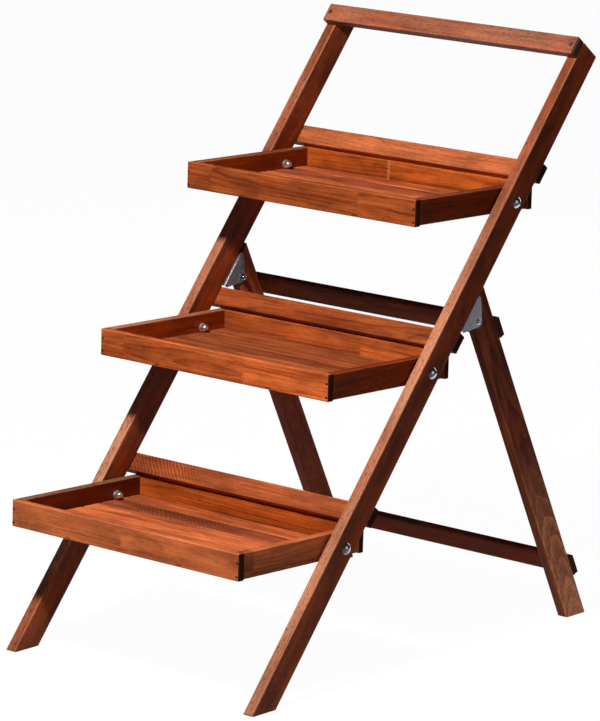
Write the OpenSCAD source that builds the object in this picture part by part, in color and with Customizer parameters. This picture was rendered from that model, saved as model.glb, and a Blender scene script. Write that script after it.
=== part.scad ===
// Folding plant ladder stand: two leaning stiles carry a handle rail, three back slats and three
// trays; a rear leg frame swings on two U-brackets. Millimetres, +X right, +Y back, +Z up.
// The origin is on the floor, in the middle of the stand's width and depth.

/* [Overall] */
// Width over the two stiles
stand_w = 560; // [420:5:800]
// Angle of the stiles from the floor
lean = 50.75; // [48:0.25:54]
// Angle of the rear legs from the floor when the stand is open
leg_angle = 64.6; // [60:0.2:70]
// How far the trays' fronts are raised from level, in degrees
tray_pitch = 1.8; // [0:0.1:3]

/* [Stiles] */
// Thickness of a stile across the stand
stile_t = 20.5; // [18:0.5:28]
// Depth of a stile, front face to rear face
stile_d = 47; // [42:0.5:60]
// Length of a stile's front edge, foot to top
stile_len = 1298; // [1260:2:1400]
// Rounding of the stiles' and legs' long edges
arris = 3; // [1:0.5:4]
// Rounding of a foot's front corner
foot_round = 2.5; // [1.5:0.5:6]

/* [Rail and slats] */
// Height of the rail and of every slat
slat_h = 34; // [28:1:44]
// Thickness of the rail and of every slat
slat_t = 16; // [12:0.5:18]
// How far a back slat's end stays inside the stile's outer face
slat_inset = 2.5; // [0:0.5:6]
// Rounding of the slats' long edges
slat_arris = 2.5; // [1:0.5:4]
// Rounding of the rail's and slats' corners at their ends
end_round = 3.5; // [1:0.5:6]
// Rounding of the upright edges at the rail's ends, on its outer face
rail_edge = 5; // [1:0.5:6]
// How far the rail stands above the stiles' upper ends
rail_up = 1.5; // [0:0.5:3]
// Rounding of a board's upright end edges where its face lies on another piece
inner_edge = 0.5; // [0.25:0.25:1]

/* [Trays] */
// Distance of the lowest tray's pivot from the stile's foot, along the front edge
first_pivot = 327; // [300:1:360]
// Distance from one tray's pivot to the next
pivot_step = 334.25; // [320:0.25:350]
// Depth of the pivots behind the stiles' front faces
pivot_depth = 27.25; // [25:0.25:29]
// Depth of a tray, front to back
tray_depth = 304.5; // [280:0.5:320]
// Distance from a tray's pivot back to its rear face
tray_back = 70.6; // [66:0.2:76]
// Height of a tray's front and back boards
tray_h = 45.7; // [43:0.1:50]
// Height of the pivot above a tray's lower edge
pivot_up = 21.65; // [20:0.05:24]
// Thickness of a tray's front and back boards
board_t = 12; // [9:0.5:14]
// Thickness of a tray's side boards
side_t = 16; // [12:0.5:20]
// How far a side board's lower edge stays above the front board's
side_lift = 2; // [0:0.5:4]
// Rounding of the tray boards' long edges
tray_arris = 2.25; // [1:0.25:3]
// Rounding of the upright edges at the ends of a tray's front and back boards
board_edge = 2.75; // [1.25:0.25:3.25]
// Gap between a stile and the tray beside it
side_gap = 3.2; // [2:0.2:5]
// Number of floor slats in a tray
floor_count = 6; // [4:1:8]
// Gap between two floor slats
floor_gap = 3.5; // [2:0.5:8]
// Thickness of a floor slat
floor_t = 7; // [5:0.5:8]
// Rounding of the floor slats' long edges
floor_arris = 1.5; // [0.5:0.25:2]
// Thickness of a batten under the floor slats
batten_t = 6; // [4:0.5:7]
// Width of a batten
batten_w = 22; // [16:1:34]
// Distance of a batten's middle from the tray's middle
batten_x = 125; // [80:5:160]

/* [Rear legs] */
// Thickness of a leg across the stand
leg_t = 20; // [18:0.5:20.5]
// Depth of a leg, front face to rear face
leg_d = 47.5; // [42:0.5:56]
// How far a leg's outer face stays inside the stile's outer face
leg_inset = 3; // [2.5:0.1:3.5]
// Rounding of a leg's head at its rear tip
head_round = 1; // [0.5:0.5:3]
// Height of a cross slat
cross_h = 38.5; // [30:0.5:42]
// Thickness of a cross slat
cross_t = 13; // [10:0.5:18]
// Rounding of the cross slats' long edges
cross_arris = 4; // [1:0.5:4.5]
// Height of the lower cross slat's lower edge, along the leg from its foot
cross_low = 56; // [40:1:200]
// Height of the upper cross slat's lower edge, along the leg from its foot
cross_high = 558; // [400:1:560]

/* [Brackets] */
// Distance of the hinge from the stile's foot, along the stile
hinge_up = 789; // [775:1:800]
// Distance of the hinge behind the stiles' rear faces
hinge_off = 28; // [27:0.25:32]
// Distance of the hinge from the leg's front face
hinge_in = 9; // [8:0.25:11]
// Thickness of a bracket's plate
plate_t = 1.6; // [1:0.1:2.5]
// Length of a bracket along the stile
bracket_len = 68; // [60:1:90]
// Height of the ears' straight ends above the stile
ear_shoulder = 7; // [5:0.5:12]
// Radius of the ears around the hinge
ear_r = 9; // [7:0.5:11]

/* [Hardware] */
// Shank diameter of the tray bolts
bolt_d = 8; // [6:0.5:10]
// Diameter of a tray bolt's domed head
bolt_head_d = 20.5; // [16:0.5:24]
// Height of a tray bolt's domed head
bolt_head_h = 5; // [3:0.5:6]
// Length of the square neck under the head
bolt_neck = 5; // [3:0.5:7]
// Width across the flats of a cap nut
nut_af = 13; // [11:0.5:17]
// Height of a cap nut's hexagon
nut_hex_h = 6; // [4:0.5:8]
// Height of a whole cap nut
nut_h = 12; // [11:0.5:18]
// How far a bolt runs on past the hexagon, inside its cap nut
bolt_past = 2; // [1:0.25:2]
// Outer diameter of the washers
washer_d = 16; // [14:0.5:24]
// Thickness of the washer under a cap nut
washer_t = 1.6; // [1:0.1:2.5]
// Outer diameter of the spacers between stile and tray
spacer_d = 22; // [16:0.5:30]
// Shank diameter of the hinge bolts
pin_d = 6; // [5:0.5:8]
// Diameter of a hinge bolt's domed head
pin_head_d = 11; // [9:0.5:14]
// Height of a hinge bolt's domed head
pin_head_h = 3; // [2:0.25:4]
// Width across the flats of a hinge bolt's cap nut
pin_nut_af = 11; // [10:0.5:13]
// Height of the hexagon of a hinge bolt's cap nut
pin_nut_hex_h = 3.5; // [3:0.5:5]
// Height of a hinge bolt's whole cap nut
pin_nut_h = 9; // [8:0.5:12]
// Shank diameter of the wood screws
screw_d = 4; // [3:0.25:5]
// Head diameter of the wood screws
screw_head_d = 8; // [7:0.25:9]
// Length of the wood screws
screw_len = 35; // [28:1:40]
// How far the two screws at a slat's end stand to either side of their middle
screw_shift = 2.5; // [0:0.5:4]
// Length of the brackets' screws
plate_screw_len = 20; // [12:1:30]
// Diameter of the brads
brad_d = 2; // [1.5:0.1:2.5]
// Length of the brads
brad_len = 30; // [24:1:40]
// Height of a corner's lower brad above the tray's lower edge
brad_low = 7; // [5:0.5:10]
// Height of a corner's upper brad above the tray's lower edge
brad_high = 29.5; // [25:0.5:34]
// Width of a staple's crown
staple_w = 11; // [8:0.5:14]
// Thickness of the staples' wire
staple_t = 1.4; // [1:0.1:1.6]
// Length of a staple's legs
staple_len = 25; // [20:1:35]
// Height of the slit that a staple leaves in the wood
slit_h = 2.4; // [1.8:0.1:3]
// Distance of a corner's brads from the end of their board
brad_in = 4.5; // [3.5:0.5:10]
// How deep brads and staples are sunk in the wood
sink = 0.7; // [0.3:0.1:1.2]

/* [Clearances] */
// Radial clearance between a bolt and what turns on it
running = 0.05; // [0.02:0.01:0.1]
// Gap left where a moving piece comes to rest on its stop
stop_gap = 0.3; // [0.1:0.1:0.6]
// Gap between the faces of pieces that turn past each other
side_play = 0.2; // [0.1:0.05:0.3]

/* [Hidden] */

wood = [0.62, 0.27, 0.11];
wood_dark = [0.30, 0.12, 0.06];
zinc = [0.75, 0.76, 0.78];
brad_dark = [0.16, 0.08, 0.05];

fine = 48;
half_w = stand_w / 2;
stile_x = half_w - stile_t / 2;
tray_half = half_w - stile_t - side_gap;
side_inner = tray_half - side_t;
leg_x = half_w - leg_inset - leg_t / 2;
tray_top = tray_h - pivot_up;
floor_top = batten_t + floor_t;
side_len = tray_depth - 2 * board_t;
floor_w = (side_len - (floor_count + 1) * floor_gap) / floor_count;
floor_len = 2 * side_inner;
slat_len = stand_w - 2 * slat_inset;
cross_len = 2 * (half_w - leg_inset);
pivots = [for (i = [0:2]) first_pivot + i * pivot_step];

// Where a back slat's lower rear edge meets the top of the tray's back board.
meet = lean + tray_pitch;
slat_drop = stile_d + slat_t - slat_arris - pivot_depth;
slat_rise = (tray_top + stop_gap + slat_arris + slat_drop * cos(meet)) / sin(meet) - slat_arris;

// The hinge in the side view, from the stile's foot.
hinge_n = stile_d + hinge_off;
hinge_y = hinge_up * cos(lean) + hinge_n * sin(lean);
hinge_z = hinge_up * sin(lean) - hinge_n * cos(lean);
// Distance along a leg, from the hinge, at which the depth w behind the hinge meets the floor.
function leg_floor(w) = -(hinge_z + w * cos(leg_angle)) / sin(leg_angle);
// Distance along a leg at which the depth w meets the bracket's base plate.
spread = lean + leg_angle;
function leg_bevel(w) =
    (hinge_off - plate_t - stop_gap - w * cos(spread)) / sin(spread);
leg_front = -hinge_in;
leg_rear = leg_d - hinge_in;

// Foremost and rearmost points, so that the origin lies midway between them.
tray_front = tray_depth - tray_back;
low_pivot_y = first_pivot * cos(lean) + pivot_depth * sin(lean);
front_y = low_pivot_y - (tray_front - tray_arris) * cos(tray_pitch)
    - (pivot_up - tray_arris) * sin(tray_pitch) - tray_arris;
heel_z = arris;
heel_y = hinge_y + leg_rear / sin(leg_angle) + (hinge_z - heel_z) / tan(leg_angle);
rear_y = heel_y - arris / sin(leg_angle) + arris;
mid_y = (front_y + rear_y) / 2;

// --- places -------------------------------------------------------------------------------

// Side-view frame of the stiles: x across, y from front face to rear face, z up the stile.
module on_stile() translate([0, -mid_y, 0]) rotate([lean - 90, 0, 0]) children();

// Side-view frame of the legs, from the hinge: y from front to rear, z up the leg.
module on_leg()
    translate([0, hinge_y - mid_y, hinge_z]) rotate([90 - leg_angle, 0, 0]) children();

// Frame of tray i, from its pivot: y to the back, z up.
module on_tray(i)
    on_stile() translate([0, pivot_depth, pivots[i]])
        rotate([90 - lean - tray_pitch, 0, 0]) children();

module both_sides() for (s = [-1, 1]) scale_x(s) children();
module scale_x(s) if (s < 0) mirror([1, 0, 0]) children(); else children();

// A drilling or a pin along X, through the point [y, z].
module along_x(x0, x1, d, y = 0, z = 0)
    translate([x0, y, z]) rotate([0, 90, 0]) cylinder(d = d, h = x1 - x0, $fn = fine);

// --- shapes -------------------------------------------------------------------------------

function unit(v) = v / norm(v);
function edge_dir(p, i, k) = unit(p[(i + k + len(p)) % len(p)] - p[i]);
function half_angle(p, i) = acos(edge_dir(p, i, 1) * edge_dir(p, i, -1)) / 2;
function tangent_point(p, i, k, r) = p[i] + edge_dir(p, i, k) * r / tan(half_angle(p, i));
function arc_centre(p, i, r) =
    p[i] + unit(edge_dir(p, i, 1) + edge_dir(p, i, -1)) * r / sin(half_angle(p, i));

// A convex outline whose corners are true arcs.
module rounded_poly(p, r) {
    polygon([for (i = [0:len(p) - 1], k = [-1, 1]) tangent_point(p, i, k, r[i])]);
    for (i = [0:len(p) - 1])
        translate(arc_centre(p, i, r[i])) circle(r = r[i], $fn = fine);
}

module rounded_rect(w, h, r)
    rounded_poly([[0, 0], [w, 0], [w, h], [0, h]], [r, r, r, r]);

// A side-view outline (y, z) pulled across the stand, from x0 to x1.
module across(x0, x1)
    translate([x0, 0, 0]) rotate([90, 0, 90]) linear_extrude(x1 - x0) children();

// A board with rounded long edges: thickness t across, depth d, along Z from z0 to z1.
module stick(t, d, z0, z1, r)
    translate([-t / 2, 0, z0]) linear_extrude(z1 - z0) rounded_rect(t, d, r);

// A board across the stand, t thick and h high, with long edges rounded by r. Its ends are rounded
// by re as seen from the front, and by front and rear as seen from above, at those two faces.
module cross_board(length, t, h, r, re, front, rear) intersection() {
    across(-length / 2, length / 2) rounded_rect(t, h, r);
    translate([-length / 2, t + 1, 0]) rotate([90, 0, 0])
        linear_extrude(t + 2) rounded_rect(length, h, re);
    translate([-length / 2, 0, -1]) linear_extrude(h + 2)
        rounded_poly([[0, 0], [length, 0], [length, t], [0, t]], [front, front, rear, rear]);
}

// A countersunk screw along +Y from its flush head at y = 0; slack widens it as a pilot hole.
module screw(length, recess = true) {
    rotate([-90, 0, 0]) difference() {
        union() {
            cylinder(d = screw_d, h = length - screw_d, $fn = fine);
            translate([0, 0, length - screw_d])
                cylinder(d1 = screw_d, d2 = 0.6, h = screw_d, $fn = fine);
            cylinder(d1 = screw_head_d, d2 = screw_d, h = (screw_head_d - screw_d) / 2, $fn = fine);
        }
        if (recess) for (a = [0, 90])
            rotate([0, 0, a]) translate([-screw_head_d / 4, -0.5, -1])
                cube([screw_head_d / 2, 1, 2.4]);
    }
}

// A domed head of diameter d and height h, its flat side at x = 0, rising along +X.
module dome(d, h) {
    ball = (d * d / 4 + h * h) / (2 * h);
    rotate([0, 90, 0]) intersection() {
        translate([0, 0, h - ball]) sphere(r = ball, $fn = 96);
        cylinder(d = d, h = h + 1, $fn = fine);
    }
}

// A square or six-sided bar along X.
module bar_x(sides, flats, x0, x1)
    translate([x0, 0, 0]) rotate([0, 90, 0])
        cylinder(d = flats / cos(180 / sides), h = x1 - x0, $fn = sides);

// --- front frame --------------------------------------------------------------------------

// Outline of a stile in its side view; the foot is cut to the floor.
module stile_outline() {
    rounded_poly(
        [[0, 0], [stile_d, stile_d / tan(lean)], [stile_d, stile_len], [0, stile_len]],
        [foot_round, arris, arris, arris]
    );
}

module place_slat(i)
    on_stile() translate([0, stile_d, pivots[i] + slat_rise]) children();

module place_rail()
    on_stile() translate([0, -slat_t, stile_len + rail_up - slat_h]) children();

// Screws of a back slat, from its rear face: two at each end.
module slat_screws_at(i, recess)
    place_slat(i) for (s = [-1, 1], k = [-1, 1])
        translate([s * (leg_x + k * screw_shift), slat_t, slat_h / 2 + k * slat_h / 5])
            mirror([0, 1, 0]) screw(screw_len, recess);

// Screws of the rail, from its front face: one at each end.
module rail_screws_at(recess)
    place_rail() for (s = [-1, 1])
        translate([s * stile_x, 0, slat_h / 2]) screw(screw_len, recess);

module bracket_screws_at(s, recess)
    on_stile() for (k = [-1, 1])
        translate([s * leg_x, stile_d + plate_t, hinge_up + k * bracket_len * 0.3])
            mirror([0, 1, 0]) screw(plate_screw_len, recess);

// The bolt of a tray pivot without its head, on the right side, as a solid for drilling.
module bolt_shank(d, x0, x1, neck) {
    along_x(x0, x1, d);
    if (neck)
        intersection() {
            rotate([45, 0, 0]) bar_x(4, bolt_d, half_w - bolt_neck, half_w);
            along_x(half_w - bolt_neck, half_w, bolt_d * 1.3);
        }
}

module at_pivots() for (i = [0:2]) on_stile()
    translate([0, pivot_depth, pivots[i]]) children();

module stile(s) {
    difference() {
        scale_x(s) on_stile() intersection() {
            translate([stile_x, 0, 0])
                stick(stile_t, stile_d, -stile_d, stile_len + 1, arris);
            across(half_w - stile_t - 1, half_w + 1) stile_outline();
        }
        scale_x(s) at_pivots() bolt_shank(bolt_d, half_w - stile_t - 1, half_w + 1, true);
        rail_screws_at(false);
        for (i = [0:2]) slat_screws_at(i, false);
        bracket_screws_at(s, false);
    }
}
module stile_left() color(wood) stile(-1);
module stile_right() color(wood) stile(1);

module top_rail() color(wood) difference() {
    place_rail()
        cross_board(stand_w, slat_t, slat_h, slat_arris, end_round, rail_edge, inner_edge);
    rail_screws_at(false);
}

module back_slat(i) color(wood) difference() {
    place_slat(i)
        cross_board(slat_len, slat_t, slat_h, slat_arris, end_round, inner_edge, slat_arris);
    slat_screws_at(i, false);
}

nut_seat = side_inner - side_play - washer_t;
bolt_end = nut_seat - nut_hex_h - bolt_past;

module carriage_bolts() color(zinc) both_sides() at_pivots() {
    translate([half_w, 0, 0]) dome(bolt_head_d, bolt_head_h);
    bolt_shank(bolt_d, bolt_end, half_w, true);
}

// A washer on a pivot bolt; its bore hugs the bolt.
module ring_x(x0, x1, d) difference() {
    along_x(x0, x1, d);
    along_x(x0 - 1, x1 + 1, bolt_d);
}

module tray_spacers() color(zinc) both_sides() at_pivots()
    ring_x(tray_half + side_play, half_w - stile_t, spacer_d);

module nut_washers() color(zinc) both_sides() at_pivots()
    ring_x(nut_seat, side_inner - side_play, washer_d);

// A cap nut seated at x = 0 and rising along -X: a hexagon af wide with chamfered corners and a
// domed cap, bored for the bolt.
module cap_nut(af, hex_h, h, bore) rotate([0, -90, 0]) difference() {
    cap_r = af / 2 - 0.4;
    union() {
        intersection() {
            cylinder(d = af / cos(30), h = hex_h, $fn = 6);
            cylinder(r1 = af / 2 + hex_h, r2 = af / 2, h = hex_h, $fn = fine);
        }
        rotate_extrude($fn = fine) {
            translate([0, 1]) square([cap_r, h - cap_r - 1]);
            translate([0, h - cap_r]) intersection() {
                circle(r = cap_r, $fn = fine);
                square([cap_r, cap_r]);
            }
        }
    }
    translate([0, 0, -1]) cylinder(d = bore, h = hex_h + bolt_past + 1, $fn = fine);
}
module cap_nuts() color(zinc) both_sides() at_pivots()
    translate([nut_seat, 0, 0]) cap_nut(nut_af, nut_hex_h, nut_h, bolt_d);

// --- brackets -----------------------------------------------------------------------------

ear_in = leg_t / 2 + side_play;
ear_out = ear_in + plate_t;

// Touch point of the line from a to the circle of radius r round c; k picks the side.
function touch_point(a, c, r, k) =
    let (d = norm(c - a), u = (a - c) / d, t = k * acos(r / d))
    c + r * [u[0] * cos(t) - u[1] * sin(t), u[0] * sin(t) + u[1] * cos(t)];

// Outline of an ear: straight base on the stile, round top about the hinge.
module ear_outline() {
    c = [hinge_off, 0];
    a = [ear_shoulder, -bracket_len / 2];
    b = [ear_shoulder, bracket_len / 2];
    polygon([
        [0, -bracket_len / 2], a, touch_point(a, c, ear_r, 1),
        touch_point(b, c, ear_r, -1), b, [0, bracket_len / 2]
    ]);
    translate(c) circle(r = ear_r, $fn = fine);
}

// Section of a bracket across the stile: a base plate with both ears bent up.
module bracket_section() {
    tall = hinge_off + ear_r + 5;
    bend = side_play + stop_gap; // small enough to clear the square edges of the leg's head
    difference() {
        rounded_poly(
            [[-ear_out, 0], [ear_out, 0], [ear_out, tall], [-ear_out, tall]],
            [bend + plate_t, bend + plate_t, 1, 1]
        );
        rounded_poly(
            [[-ear_in, plate_t], [ear_in, plate_t], [ear_in, tall + 9], [-ear_in, tall + 9]],
            [bend, bend, 1, 1]
        );
    }
}

module bracket(s) color(zinc) difference() {
    scale_x(s) on_stile() translate([leg_x, stile_d, hinge_up]) difference() {
        intersection() {
            translate([0, 0, -bracket_len / 2 - 1])
                linear_extrude(bracket_len + 2) bracket_section();
            across(-ear_out - 1, ear_out + 1) ear_outline();
        }
        along_x(-ear_out - 1, ear_out + 1, pin_d, hinge_off, 0);
    }
    bracket_screws_at(s, false);
}
module bracket_left() bracket(-1);
module bracket_right() bracket(1);

module bracket_screws() color(zinc) {
    bracket_screws_at(-1, true);
    bracket_screws_at(1, true);
}

module at_hinges() both_sides() on_leg() translate([leg_x, 0, 0]) children();

module hinge_bolts() color(zinc) at_hinges() {
    along_x(-ear_out - pin_nut_hex_h - bolt_past, ear_out, pin_d);
    translate([ear_out, 0, 0]) dome(pin_head_d, pin_head_h);
}

module hinge_nuts() color(zinc) at_hinges()
    translate([-ear_out, 0, 0]) cap_nut(pin_nut_af, pin_nut_hex_h, pin_nut_h, pin_d);

module rail_screws() color(brad_dark) rail_screws_at(true);
module back_slat_screws() color(brad_dark) for (i = [0:2]) slat_screws_at(i, true);

// --- trays --------------------------------------------------------------------------------

// Places of the corner brads: one high and one low in each end of the front and back boards.
brad_x = tray_half - brad_in;
brad_zs = [brad_low - pivot_up, brad_high - pivot_up];

// Brads of the front board (k = -1) or of the back board (k = 1), as they sit in the tray; a hole
// starts at the board's face, and a brad starts a little below it.
module end_brads(k, hole) {
    face = k < 0 ? -tray_front : tray_back;
    for (s = [-1, 1], z = brad_zs) translate([s * brad_x, face, z]) rotate([k * 90, 0, 0])
        translate([0, 0, hole ? -1 : sink])
            cylinder(d = brad_d, h = brad_len + (hole ? 1 : -sink), $fn = fine);
}

// A staple that goes in along +Y from the face at y = 0; a hole has the slit above its crown.
module staple(hole) {
    translate([-staple_w / 2, sink, -staple_t / 2]) cube([staple_w, staple_t, staple_t]);
    for (s = [-1, 1]) translate([s * (staple_w - staple_t) / 2 - staple_t / 2, sink, -staple_t / 2])
        cube([staple_t, staple_len, staple_t]);
    if (hole) translate([-staple_w / 2 - 0.3, -1, -slit_h / 2])
        cube([staple_w + 0.6, 1 + sink, slit_h]);
}

// Staples of the front board (k = -1) or of the back board (k = 1), into the battens' ends.
module end_staples(k, hole) for (s = [-1, 1])
    translate([s * batten_x, k < 0 ? -tray_front : tray_back, batten_t / 2 - pivot_up])
        rotate([0, 0, k < 0 ? 0 : 180]) staple(hole);

function slat_y(j) = -tray_front + board_t + floor_gap + j * (floor_w + floor_gap);
staple_z = batten_t + floor_t * 0.3 - pivot_up;

// Staples through the side boards into the floor slats' ends.
module side_staples(hole) for (s = [-1, 1], j = [0:floor_count - 1]) scale_x(s)
    translate([tray_half, slat_y(j) + floor_w / 2, staple_z]) rotate([0, 0, 90]) staple(hole);

module tray_end_board(i, k) color(wood) on_tray(i) difference() {
    face_y = k < 0 ? -tray_front : tray_back - board_t;
    ends = k < 0 ? [board_edge, inner_edge] : [inner_edge, board_edge];
    translate([0, face_y, -pivot_up])
        cross_board(2 * tray_half, board_t, tray_h, tray_arris, tray_arris, ends[0], ends[1]);
    end_brads(k, true);
    end_staples(k, true);
}

module tray_side(i, s) color(wood) on_tray(i) difference() {
    scale_x(s) translate([side_inner, board_t - tray_front, 0]) rotate([-90, 0, 0])
        translate([0, -tray_top, 0]) linear_extrude(side_len)
            rounded_rect(side_t, tray_h - side_lift, tray_arris);
    scale_x(s) along_x(side_inner - 1, tray_half + 1, bolt_d + 2 * running);
    end_brads(-1, true);
    end_brads(1, true);
    side_staples(true);
}

module tray_floor(i) color(wood) on_tray(i) difference() {
    for (j = [0:floor_count - 1])
        translate([0, slat_y(j), batten_t - pivot_up])
            across(-floor_len / 2, floor_len / 2)
                rounded_rect(floor_w, floor_t, floor_arris);
    side_staples(true);
}

module tray_battens(i) color(wood) on_tray(i) difference() {
    for (s = [-1, 1])
        translate([s * batten_x - batten_w / 2, board_t - tray_front, -pivot_up])
            cube([batten_w, side_len, batten_t]);
    end_staples(-1, true);
    end_staples(1, true);
}

module tray_brads(i) color(brad_dark) on_tray(i) {
    end_brads(-1, false);
    end_brads(1, false);
}

module tray_staples(i) color(brad_dark) on_tray(i) {
    end_staples(-1, false);
    end_staples(1, false);
    side_staples(false);
}

// --- rear leg frame -----------------------------------------------------------------------

module leg_outline() rounded_poly(
    [
        [leg_front, leg_floor(leg_front)], [leg_rear, leg_floor(leg_rear)],
        [leg_rear, leg_bevel(leg_rear)], [leg_front, leg_bevel(leg_front)]
    ],
    [arris, arris, head_round, arris]
);

module place_cross(up)
    on_leg() translate([0, leg_rear, leg_floor(leg_front) + up]) children();

module cross_screws_at(up, recess)
    place_cross(up) for (s = [-1, 1], k = [-1, 1])
        translate([s * (leg_x + k * screw_shift), cross_t, cross_h / 2 + k * cross_h / 5])
            mirror([0, 1, 0]) screw(screw_len, recess);

module leg(s) color(wood_dark) difference() {
    scale_x(s) on_leg() intersection() {
        translate([leg_x, leg_front, 0])
            stick(leg_t, leg_d, leg_floor(leg_rear) - 1, leg_bevel(leg_rear) + 1, arris);
        across(leg_x - leg_t / 2 - 1, leg_x + leg_t / 2 + 1) leg_outline();
    }
    scale_x(s) on_leg()
        along_x(leg_x - leg_t / 2 - 1, leg_x + leg_t / 2 + 1, pin_d + 2 * running);
    cross_screws_at(cross_low, false);
    cross_screws_at(cross_high, false);
}
module leg_left() leg(-1);
module leg_right() leg(1);

module cross_slat(up) color(wood_dark) difference() {
    place_cross(up)
        cross_board(cross_len, cross_t, cross_h, cross_arris, end_round, inner_edge, slat_arris);
    cross_screws_at(up, false);
}
module cross_slat_low() cross_slat(cross_low);
module cross_slat_high() cross_slat(cross_high);

module cross_slat_screws() color(brad_dark) {
    cross_screws_at(cross_low, true);
    cross_screws_at(cross_high, true);
}

// --- what is drawn ------------------------------------------------------------------------

stile_left();
stile_right();
top_rail();
back_slat(0);  // back_slat_low
back_slat(1);  // back_slat_mid
back_slat(2);  // back_slat_top
carriage_bolts();
tray_spacers();
nut_washers();
cap_nuts();
bracket_left();
bracket_right();
bracket_screws();
hinge_bolts();
hinge_nuts();
rail_screws();
back_slat_screws();
tray_end_board(0, -1);  // tray_low_front
tray_end_board(0, 1);  // tray_low_back
tray_side(0, -1);  // tray_low_side_left
tray_side(0, 1);  // tray_low_side_right
tray_floor(0);  // tray_low_floor
tray_battens(0);  // tray_low_battens
tray_brads(0);  // tray_low_brads
tray_staples(0);  // tray_low_staples
tray_end_board(1, -1);  // tray_mid_front
tray_end_board(1, 1);  // tray_mid_back
tray_side(1, -1);  // tray_mid_side_left
tray_side(1, 1);  // tray_mid_side_right
tray_floor(1);  // tray_mid_floor
tray_battens(1);  // tray_mid_battens
tray_brads(1);  // tray_mid_brads
tray_staples(1);  // tray_mid_staples
tray_end_board(2, -1);  // tray_top_front
tray_end_board(2, 1);  // tray_top_back
tray_side(2, -1);  // tray_top_side_left
tray_side(2, 1);  // tray_top_side_right
tray_floor(2);  // tray_top_floor
tray_battens(2);  // tray_top_battens
tray_brads(2);  // tray_top_brads
tray_staples(2);  // tray_top_staples
leg_left();
leg_right();
cross_slat_low();
cross_slat_high();
cross_slat_screws();
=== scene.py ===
# %% [markdown]
# # A folding plant ladder stand
# This lesson dresses a wooden plant stand: two leaning stiles, three slatted trays that hang on
# bolts, three back slats, a handle rail, and a rear leg frame that folds on sheet-metal brackets.
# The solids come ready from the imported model. They already have the real sizes, rounded edges and
# holes, so the work here is what makes them look like oiled hardwood and plated steel, the light
# that falls on them, and the camera that looks at them.

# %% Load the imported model
import math
import bpy
from mathutils import Matrix, Vector

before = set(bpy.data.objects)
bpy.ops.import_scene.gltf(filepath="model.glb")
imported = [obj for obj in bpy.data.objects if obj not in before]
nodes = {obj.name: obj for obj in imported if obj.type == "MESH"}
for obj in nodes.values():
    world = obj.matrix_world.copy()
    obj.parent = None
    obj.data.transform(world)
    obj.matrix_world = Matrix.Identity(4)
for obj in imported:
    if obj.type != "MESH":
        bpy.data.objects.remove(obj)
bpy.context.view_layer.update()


# %% [markdown]
# ## Angles that the whole stand is built from
# Every board of this stand lies along one of three directions: across the stand, along the leaning
# stiles, or along the rear legs. The trays are level but for a small upward pitch at the front.
# Knowing these angles, a board's own axes can be written down: one along its grain, one across its
# face and one through its thickness. Wood grain that is laid out in these axes runs down the board
# as it does in a real one, whatever way the board leans.

# %% The stand's angles and the boards' axes
LEAN = math.radians(50.75)       # the stiles, from the floor
LEG_ANGLE = math.radians(64.6)   # the rear legs, from the floor
TRAY_PITCH = math.radians(1.8)   # the trays' fronts are raised by this much

ACROSS_STAND = Vector((1, 0, 0))
UP_STILE = Vector((0, math.cos(LEAN), math.sin(LEAN)))
OUT_OF_STILE = Vector((0, -math.sin(LEAN), math.cos(LEAN)))
UP_LEG = Vector((0, -math.cos(LEG_ANGLE), math.sin(LEG_ANGLE)))
OUT_OF_LEG = Vector((0, -math.sin(LEG_ANGLE), -math.cos(LEG_ANGLE)))
TRAY_BACK = Vector((0, math.cos(TRAY_PITCH), -math.sin(TRAY_PITCH)))
TRAY_UP = Vector((0, math.sin(TRAY_PITCH), math.cos(TRAY_PITCH)))


def board_frame(name, along, face):
    """Centre, half sizes and axes of a board whose grain runs along and whose wide face looks to face."""
    through = face.normalized()
    across = through.cross(along).normalized()
    axes = (along.normalized(), across, through)
    spans = []
    for axis in axes:
        reach = [axis.dot(v.co) for v in nodes[name].data.vertices]
        spans.append((min(reach), max(reach)))
    centre = sum(((a + b) / 2 * axis for (a, b), axis in zip(spans, axes)), Vector())
    half = Vector([(b - a) / 2 for a, b in spans])
    return centre, half, axes


centre, half, axes = board_frame("stile_right", UP_STILE, ACROSS_STAND)
print("a stile is", [round(2000 * v, 1) for v in half], "mm along, across and through")

# %% [markdown]
# ## Camera
# The camera stands to the right of the stand, a little above it and far away, so that parallel
# boards stay almost parallel in the picture. Its place was found by matching the corners of the
# solids with the corners in the photograph. A camera that is turned, not shifted, keeps its framing
# when it is moved to another side, so the shift stays at zero.

# %% Camera
CAMERA_PLACE = Vector((5.00328, -5.64383, 2.14925))
AZIMUTH, ELEVATION, ROLL = (math.radians(v) for v in (41.5838, 12.5184, 0.5956))
LENS_MM = 228.53

back = Vector((math.sin(AZIMUTH) * math.cos(ELEVATION), -math.cos(AZIMUTH) * math.cos(ELEVATION),
               math.sin(ELEVATION)))
level_right = (-back).cross(Vector((0, 0, 1))).normalized()
level_up = level_right.cross(-back)
right = math.cos(ROLL) * level_right + math.sin(ROLL) * level_up
up = math.cos(ROLL) * level_up - math.sin(ROLL) * level_right

camera = bpy.data.objects.new("camera", bpy.data.cameras.new("camera"))
bpy.context.scene.collection.objects.link(camera)
camera.matrix_world = Matrix.Translation(CAMERA_PLACE) @ Matrix((right, up, back)).transposed().to_4x4()
camera.data.sensor_width = 36
camera.data.lens = LENS_MM
camera.data.clip_end = 60
bpy.context.scene.camera = camera
bpy.context.scene.view_settings.view_transform = "Standard"
print("camera", round(CAMERA_PLACE.length, 2), "m from the middle of the floor under the stand")

# %% [markdown]
# ## Small helpers for shader trees
# A material is a tree of nodes. Written out in full, each node takes three or four lines, which
# hides the idea behind the typing. A few short helpers make a node, do a sum, blend two colours, turn
# one range into another, and draw noise, so that a material below reads like a recipe. The noise
# helper counts in cycles per metre along, across and through a board, because wood changes slowly
# along its grain and fast across it.

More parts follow.
